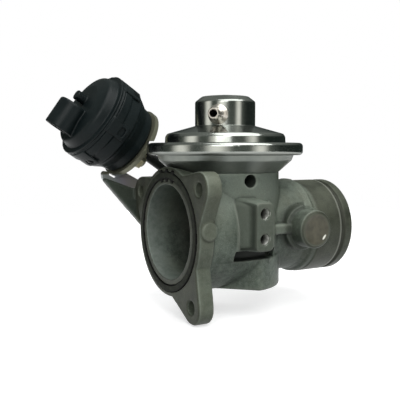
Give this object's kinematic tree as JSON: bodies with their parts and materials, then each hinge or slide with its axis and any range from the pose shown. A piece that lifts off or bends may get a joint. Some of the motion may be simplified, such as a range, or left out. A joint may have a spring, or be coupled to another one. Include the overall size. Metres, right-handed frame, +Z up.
{
  "type": "egr valve",
  "caption": "Vacuum-worked exhaust gas valve and throttle flap in one cast intake housing, with flange, hose spigot and rod-linked actuator.",
  "frame": {"origin": "centre of the air passage on the mounting flange face", "axes": "+X along the passage towards the hose spigot, +Z up along the valve stem, -Y towards the mounting pad"},
  "size_m": [0.1445, 0.1064, 0.1178],
  "materials": {
    "black_plastic": "glass-filled nylon",
    "black_rubber": "moulded rubber",
    "brass": "rolled brass",
    "bronze": "sintered bronze",
    "cast_aluminium": "shot-blasted die casting",
    "spring_steel": "drawn spring wire",
    "steel": "turned steel",
    "valve_steel": "heat-resisting steel, ground stem",
    "white_plastic": "natural acetal",
    "yellow_zinc": "yellow chromated zinc plate",
    "zinc_plate": "bright zinc plate"
  },
  "bodies": {
    "housing_group": {"housing": "cast_aluminium", "flange_seal": "black_rubber", "valve_seat_insert": "steel", "stem_guide": "bronze", "stem_seal": "black_rubber", "can_lower_shell": "zinc_plate", "can_upper_shell": "zinc_plate", "can_nipple": "zinc_plate", "can_diaphragm": "black_rubber", "can_spring": "spring_steel", "shaft_bush_front": "bronze", "shaft_bush_rear": "bronze", "boss_plug": "steel", "thrust_washer": "white_plastic", "actuator_lower_case": "black_plastic", "actuator_upper_case": "black_plastic", "actuator_port_nipple": "black_plastic", "actuator_diaphragm": "black_rubber", "actuator_spring": "spring_steel", "rod_bush": "white_plastic", "bracket": "yellow_zinc", "bracket_screws": "zinc_plate", "actuator_studs": "zinc_plate", "actuator_nuts": "zinc_plate", "can_screws": "steel"},
    "egr_valve": {"poppet_valve": "valve_steel", "diaphragm_plate_lower": "steel", "diaphragm_plate_upper": "steel", "stem_nut": "steel"},
    "throttle_flap": {"flap_disc": "brass", "flap_shaft": "steel", "flap_screws": "steel", "lever": "zinc_plate", "lever_nut": "zinc_plate", "lever_pin": "steel"},
    "rod_group": {"actuator_rod": "zinc_plate", "rod_eye": "zinc_plate", "actuator_cup": "steel", "actuator_plate": "steel"}
  },
  "joints": [
    {"name": "valve_lift", "type": "slide", "parent": "housing_group", "child": "egr_valve", "axis": [0, 0, 1], "range_m": [0, 0.006], "stiffness_N_per_m": 2500, "springref_m": -0.012, "deforming": ["can_diaphragm", "can_spring"]},
    {"name": "flap_turn", "type": "hinge", "parent": "housing_group", "child": "throttle_flap", "pos_m": [0.063, 0, 0.001], "axis": [0, -1, 0], "range_deg": [0, 80]},
    {"name": "rod_slide", "type": "slide", "parent": "housing_group", "child": "rod_group", "axis": [-0.8376, -0.0958, 0.5378], "range_m": [0, 0.01286], "stiffness_N_per_m": 1200, "springref_m": -0.008, "deforming": ["actuator_diaphragm", "actuator_spring"]}
  ],
  "couplings": [
    {"joint": "flap_turn", "follows": "rod_slide", "rad_per_m": 108.61}
  ]
}
